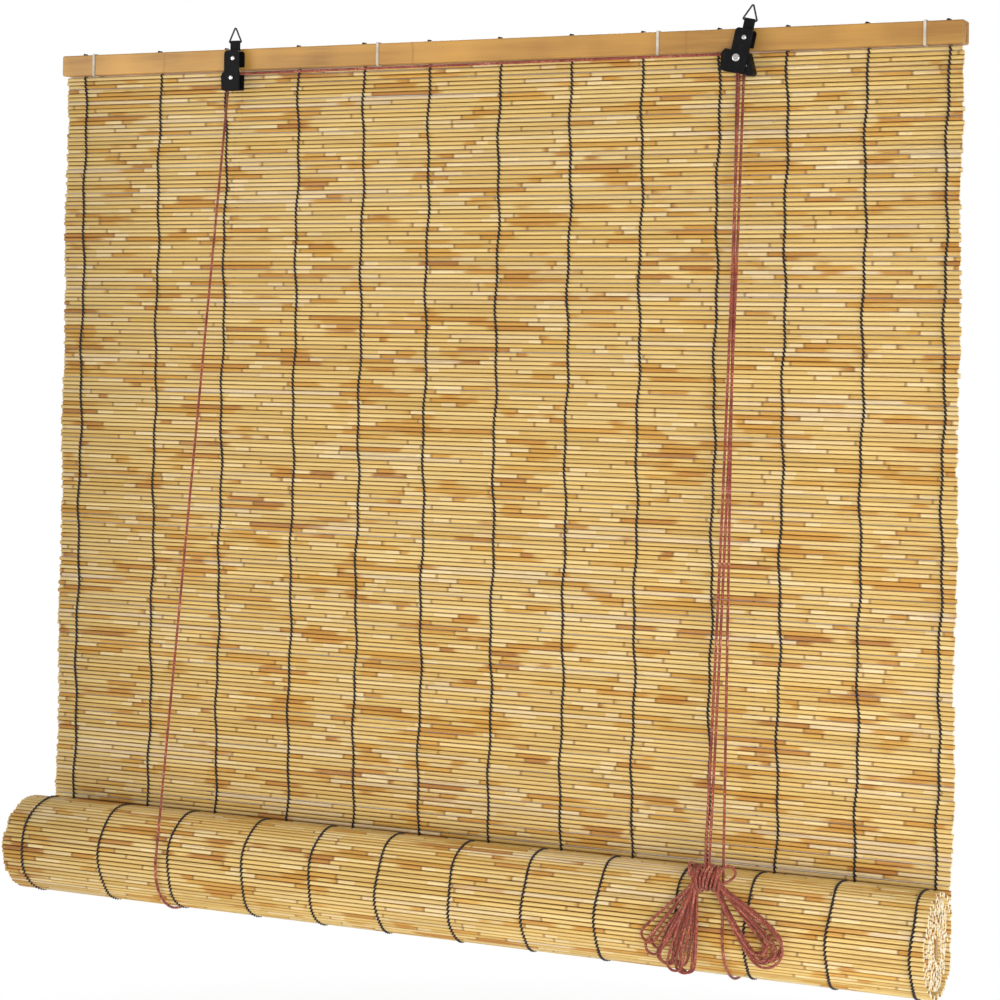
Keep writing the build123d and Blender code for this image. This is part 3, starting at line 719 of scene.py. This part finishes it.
def stitch_lines(column_x, count, place_at):
    """The two threads of a column over count reeds; place_at gives (y, z, out y, out z)."""
    lines = []
    drift = random.uniform(0, 10)
    for hand in (1, -1):
        line = []
        for sample in range(-stitch_samples // 2, (count - 1) * stitch_samples + 1):
            reed_at = sample / stitch_samples
            y, z, out_y, out_z = place_at(reed_at)
            out = hand * stitch_reach * cos(pi * reed_at)
            slant = hand * stitch_slant * sin(pi * reed_at)
            sway = 0.0012 * sin(0.17 * reed_at + drift) + 0.0008 * sin(0.47 * reed_at + 2 * drift)
            line.append(Vector((column_x + slant + sway, y + out * out_y, z + out * out_z)))
        lines.append(line)
    return lines


def in_sheet(reed_at):
    return mat_y, first_reed_z - reed_at * reed_pitch, -1.0, 0.0


def in_outer_turn(reed_at):
    return on_roll(first_on_roll + reed_at * reed_pitch)


column_nodes = sorted(name for name in nodes if name.startswith("binding_thread_"))
column_x = []
for name in column_nodes:
    low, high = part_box(name)
    column_x.append((low.x + high.x) / 2)
    column = make_tubes(f"stitches_{name[-2:]}", stitch_lines(column_x[-1], hanging_reeds, in_sheet),
                        thread_radius, thread_sides, thread)
    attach(column, "rail")
    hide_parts(name)
    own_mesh(column)

lines = []
for x in column_x:
    lines += stitch_lines(x, outer_reeds, in_outer_turn)
roll_stitches = make_tubes("roll_stitches", lines, thread_radius, thread_sides, thread)
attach(roll_stitches, "roll")
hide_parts("roll_threads")

# the threads end in a small hard knot on top of the rail
lines = []
slat_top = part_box("head_rail")[1].z
top_knot_turns = 2
turn_steps = 9
for x in column_x:
    turn_points = []
    for step in range(top_knot_turns * turn_steps + 1):
        angle = 2 * pi * step / turn_steps
        turn_points.append(Vector((x + 0.0013 * sin(angle) + 0.0003 * step / turn_steps,
                                   mat_y - 0.0045 + 0.0022 * cos(angle),
                                   slat_top + 0.0005 + 0.0008 * sin(1.5 * angle))))
    turn_points.append(turn_points[-1] + Vector((0.0018, -0.0016, 0.0003)))
    lines.append(route_line(turn_points))
top_knots = make_tubes("thread_knots_on_rail", lines, thread_radius * 0.8, thread_sides, thread)
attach(top_knots, "rail")
finish_cad(thread, "rail_threads")

# ================================================================ rail
# Two long slats split from thick bamboo, planed flat, their edges rounded and varnished a warm
# honey colour, with the top of the mat clamped between them by four white ties.


def bamboo_material(name, dark, light, varnish):
    material, tree, shader = new_material(name, light, 0.4)
    shader.inputs["Coat Weight"].default_value = varnish
    shader.inputs["Coat Roughness"].default_value = 0.3
    spot = add_node(tree, "TexCoord").outputs["Object"]
    long_way = add_node(tree, "Mapping", {"Vector": spot, "Scale": (4.0, 60.0, 90.0)}).outputs[0]
    fine_way = add_node(tree, "Mapping", {"Vector": spot, "Scale": (25.0, 900.0, 1300.0)}).outputs[0]
    broad = noise(tree, long_way, 1.0, 4.0)
    fine = noise(tree, fine_way, 1.0, 3.0)
    patch = noise(tree, spot, 9.0, 2.0)
    colour = ramp(tree, broad, [(0.3, dark), (0.65, light)])
    colour = mix(tree, 0.5, colour, ramp(tree, fine, [(0.3, grey(0.72)), (0.6, grey(1.06))]), "MULTIPLY")
    pale = ramp(tree, patch, [(0.42, grey(0.0)), (0.68, grey(0.8))])
    colour = mix(tree, pale, colour, tuple(min(1.0, 1.35 * c) for c in light) + (1,))
    # a node of the cane crosses the slat about every 30 cm
    along = add_node(tree, "SeparateXYZ", {0: spot}).outputs[0]
    wobble = calc(tree, "MULTIPLY_ADD", broad, 0.004, calc(tree, "ADD", along, 0.07))
    from_node = calc(tree, "PINGPONG", wobble, 0.15)
    near_node = calc(tree, "LESS_THAN", from_node, 0.0012)
    colour = mix(tree, calc(tree, "MULTIPLY", near_node, 0.4), colour, (*dark, 1))
    tree.links.new(colour, shader.inputs["Base Color"])
    roughness = ramp(tree, fine, [(0.3, grey(0.5)), (0.7, grey(0.34))])
    tree.links.new(roughness, shader.inputs["Roughness"])
    height = calc(tree, "ADD", fine, calc(tree, "MULTIPLY", near_node, 1.5))
    roughen(tree, shader, height, 0.00012)
    return material


slat = bamboo_material("bamboo_slat", (0.34, 0.155, 0.03), (0.48, 0.25, 0.052), 0.2)
finish_cad(slat, "head_rail", "rail_back_slat", "bottom_batten")


def tie_material():
    material, tree, shader = new_material("white_tie", (0.8, 0.76, 0.68), 0.55)
    spot = add_node(tree, "TexCoord").outputs["Object"]
    weave = add_node(tree, "TexWave", {"Vector": spot, "Scale": 420.0, "Distortion": 1.5},
                     bands_direction="X").outputs["Fac"]
    dirt_and_shade_noise = noise(tree, spot, 120.0, 3.0)
    colour = ramp(tree, dirt_and_shade_noise, [(0.3, (0.46, 0.4, 0.31)), (0.6, (0.64, 0.59, 0.5))])
    tree.links.new(colour, shader.inputs["Base Color"])
    roughen(tree, shader, weave, 0.0001)
    return material


tie = tie_material()
finish_cad(tie, "rail_tie_1", "rail_tie_2", "rail_tie_3", "rail_tie_4")

# ================================================================ hangers
# Pressed steel straps and pulley housings in black enamel, worn a little on their edges, hung
# from bent wire rings and fixed through the rail by bright domed rivets.


def enamel_material():
    material, tree, shader = new_material("black_paint", (0.004, 0.004, 0.005), 0.5)
    shader.inputs["Specular IOR Level"].default_value = 0.14
    spot = add_node(tree, "TexCoord").outputs["Object"]
    peel = noise(tree, spot, 700.0, 2.0)
    scuff = add_node(tree, "TexNoise", {"Vector": spot, "Scale": 190.0, "Detail": 6.0,
                                        "Roughness": 0.75}).outputs["Fac"]
    colour = ramp(tree, scuff, [(0.5, (0.003, 0.003, 0.0035)), (0.7, (0.008, 0.008, 0.01)),
                                (0.8, (0.05, 0.05, 0.054))])
    tree.links.new(colour, shader.inputs["Base Color"])
    tree.links.new(ramp(tree, scuff, [(0.35, grey(0.42)), (0.75, grey(0.65))]), shader.inputs["Roughness"])
    roughen(tree, shader, peel, 0.00008)
    return material


def steel_material(name, colour, roughness):
    material, tree, shader = new_material(name, colour, roughness)
    shader.inputs["Metallic"].default_value = 1.0
    spot = add_node(tree, "TexCoord").outputs["Object"]
    smear = noise(tree, spot, 500.0, 5.0)
    tarnish = tuple(0.55 * c for c in colour)
    tree.links.new(ramp(tree, smear, [(0.3, tarnish), (0.55, colour)]), shader.inputs["Base Color"])
    levels = [(0.3, grey(roughness + 0.2)), (0.6, grey(roughness))]
    tree.links.new(ramp(tree, smear, levels), shader.inputs["Roughness"])
    roughen(tree, shader, smear, 0.00005)
    return material


def nylon_material():
    material, tree, shader = new_material("pulley_plastic", (0.62, 0.6, 0.54), 0.4)
    spot = add_node(tree, "TexCoord").outputs["Object"]
    grime = noise(tree, spot, 350.0, 4.0)
    colour = ramp(tree, grime, [(0.3, (0.36, 0.33, 0.28)), (0.6, (0.68, 0.66, 0.6))])
    tree.links.new(colour, shader.inputs["Base Color"])
    roughen(tree, shader, grime, 0.00006)
    return material


enamel = enamel_material()
bright_steel = steel_material("rivet_steel", (0.82, 0.81, 0.78), 0.2)
wire = steel_material("steel_wire", (0.06, 0.06, 0.065), 0.4)
nylon = nylon_material()
finish_cad(enamel, "left_strap", "lock_strap", "left_housing", "lock_housing")
finish_cad(bright_steel, "left_rivet", "lock_rivet", "left_axle", "lock_axle", "lock_cam", "lock_cam_pin",
           "left_cord_staple", "right_cord_staple")
finish_cad(wire, "left_ring", "lock_ring")
finish_cad(nylon, "left_wheel", "lock_wheel")

# ================================================================ studio
# A wide pale floor well below the blind, a bright even surround and four soft lights.
floor_z = -1.3
bpy.ops.object.select_all(action="DESELECT")
bpy.ops.mesh.primitive_circle_add(vertices=64, radius=40, fill_type="NGON", location=(0, 0, floor_z))
floor = bpy.context.object
floor.name = "floor"
floor_material, tree, shader = new_material("floor", (0.9, 0.9, 0.89), 0.8)
spot = add_node(tree, "TexCoord").outputs["Object"]
distance = add_node(tree, "VectorMath", {0: spot}, operation="LENGTH").outputs["Value"]
far = add_node(tree, "MapRange", {0: distance, 1: 0.4, 2: 1.3}).outputs[0]
glow = add_node(tree, "Emission", {0: (1, 1, 1, 1), 1: 1.0}).outputs[0]
blended = add_node(tree, "MixShader", {0: far, 1: shader.outputs[0], 2: glow}).outputs[0]
tree.links.new(blended, tree.nodes["Material Output"].inputs[0])
floor.data.materials.append(floor_material)

world = bpy.data.worlds.new("surround")
world.use_nodes = True
tree = world.node_tree
backdrop = tree.nodes["Background"]
backdrop.inputs[0].default_value = (1, 1, 1, 1)
seen = add_node(tree, "LightPath").outputs["Is Camera Ray"]
tree.links.new(calc(tree, "MULTIPLY_ADD", seen, 0.52, 0.48), backdrop.inputs[1])
bpy.context.scene.world = world
bpy.context.scene.view_settings.view_transform = "Standard"


def soft_light(name, place, target, size, watts, beam=180):
    data = bpy.data.lights.new(name, "AREA")
    data.energy = watts
    data.size = size
    data.spread = radians(beam)
    light = bpy.data.objects.new(name, data)
    light.location = place
    light.rotation_euler = (Vector(target) - Vector(place)).to_track_quat("-Z", "Y").to_euler()
    bpy.context.scene.collection.objects.link(light)


soft_light("key", (1.6, -2.4, -0.6), (0.25, 0, -0.95), 1.2, 8, beam=70)
soft_light("fill", (-2.4, -2.2, -0.5), (-0.1, 0, -0.6), 2.0, 32)
soft_light("side", (2.6, -0.6, -0.8), (0.5, 0, -0.88), 1.0, 10)
soft_light("back", (-1.2, 2.6, 1.2), (0, 0, -0.45), 1.6, 45)
